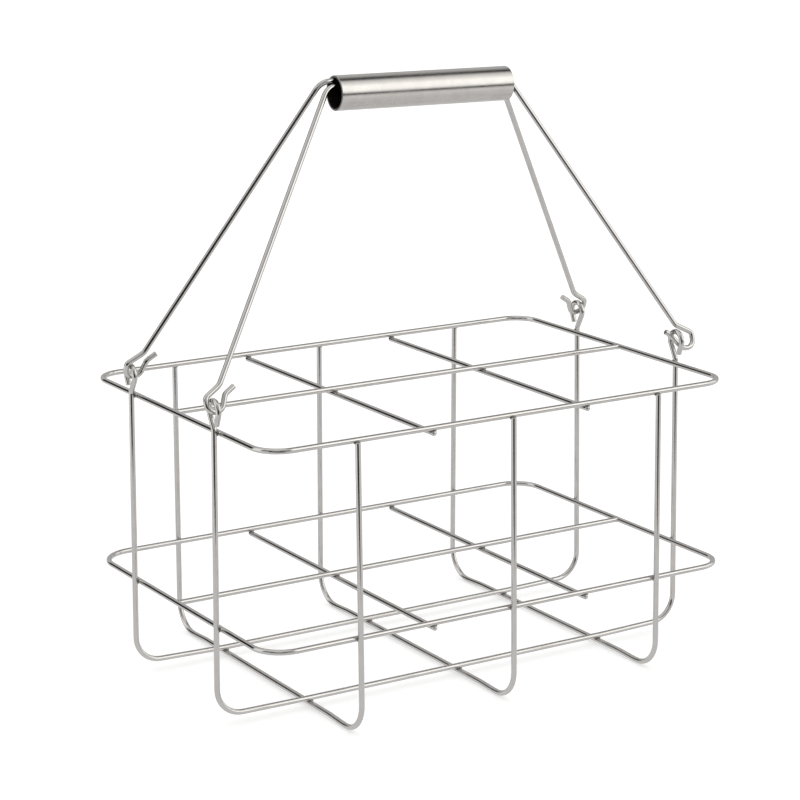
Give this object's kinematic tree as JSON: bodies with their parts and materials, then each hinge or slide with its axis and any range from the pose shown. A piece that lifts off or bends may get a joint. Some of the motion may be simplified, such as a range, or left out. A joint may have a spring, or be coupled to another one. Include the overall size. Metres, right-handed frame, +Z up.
{
  "type": "bottle carrier",
  "caption": "Welded round-wire basket with open square bottle bays, U-shaped bottom wires and hooked twin wire bails that meet in a tubular hand grip.",
  "frame": {"origin": "centre of the basket's plan, on the surface the carrier stands on", "axes": "+Z up; X along the long side of the basket, three bays long; -Y is the front long side"},
  "size_m": [0.3644, 0.2446, 0.383],
  "materials": {
    "wire_steel": "electropolished",
    "grip_steel": "satin ground tube"
  },
  "bodies": {
    "basket": {"upper_ring": "wire_steel", "lower_ring": "wire_steel", "upper_long_divider": "wire_steel", "lower_long_divider": "wire_steel", "upper_cross_divider_left": "wire_steel", "upper_cross_divider_right": "wire_steel", "lower_cross_divider_left": "wire_steel", "lower_cross_divider_right": "wire_steel", "long_u_wire_front": "wire_steel", "long_u_wire_back": "wire_steel", "cross_u_wire_left": "wire_steel", "cross_u_wire_middle": "wire_steel", "cross_u_wire_right": "wire_steel"},
    "front_bail": {"front_bail": "wire_steel"},
    "back_bail": {"back_bail": "wire_steel"},
    "grip": {"grip_tube": "grip_steel"}
  },
  "joints": [
    {"name": "back_bail_sway", "type": "hinge", "parent": "basket", "child": "back_bail", "pos_m": [0, 0.05415, 0.1968], "axis": [1, 0, 0], "range_deg": [-4.5, 0]},
    {"name": "front_bail_sway", "type": "hinge", "parent": "basket", "child": "front_bail", "pos_m": [0, -0.0576, 0.1968], "axis": [1, 0, 0], "range_deg": [-4.5, 0]},
    {"name": "grip_turn", "type": "hinge", "parent": "back_bail", "child": "grip", "pos_m": [0.0102, -0.0002, 0.3712], "axis": [0.999, -0.0419, -0.0133], "continuous": true}
  ],
  "couplings": [
    {"joint": "front_bail_sway", "follows": "back_bail_sway", "ratio": 1}
  ]
}
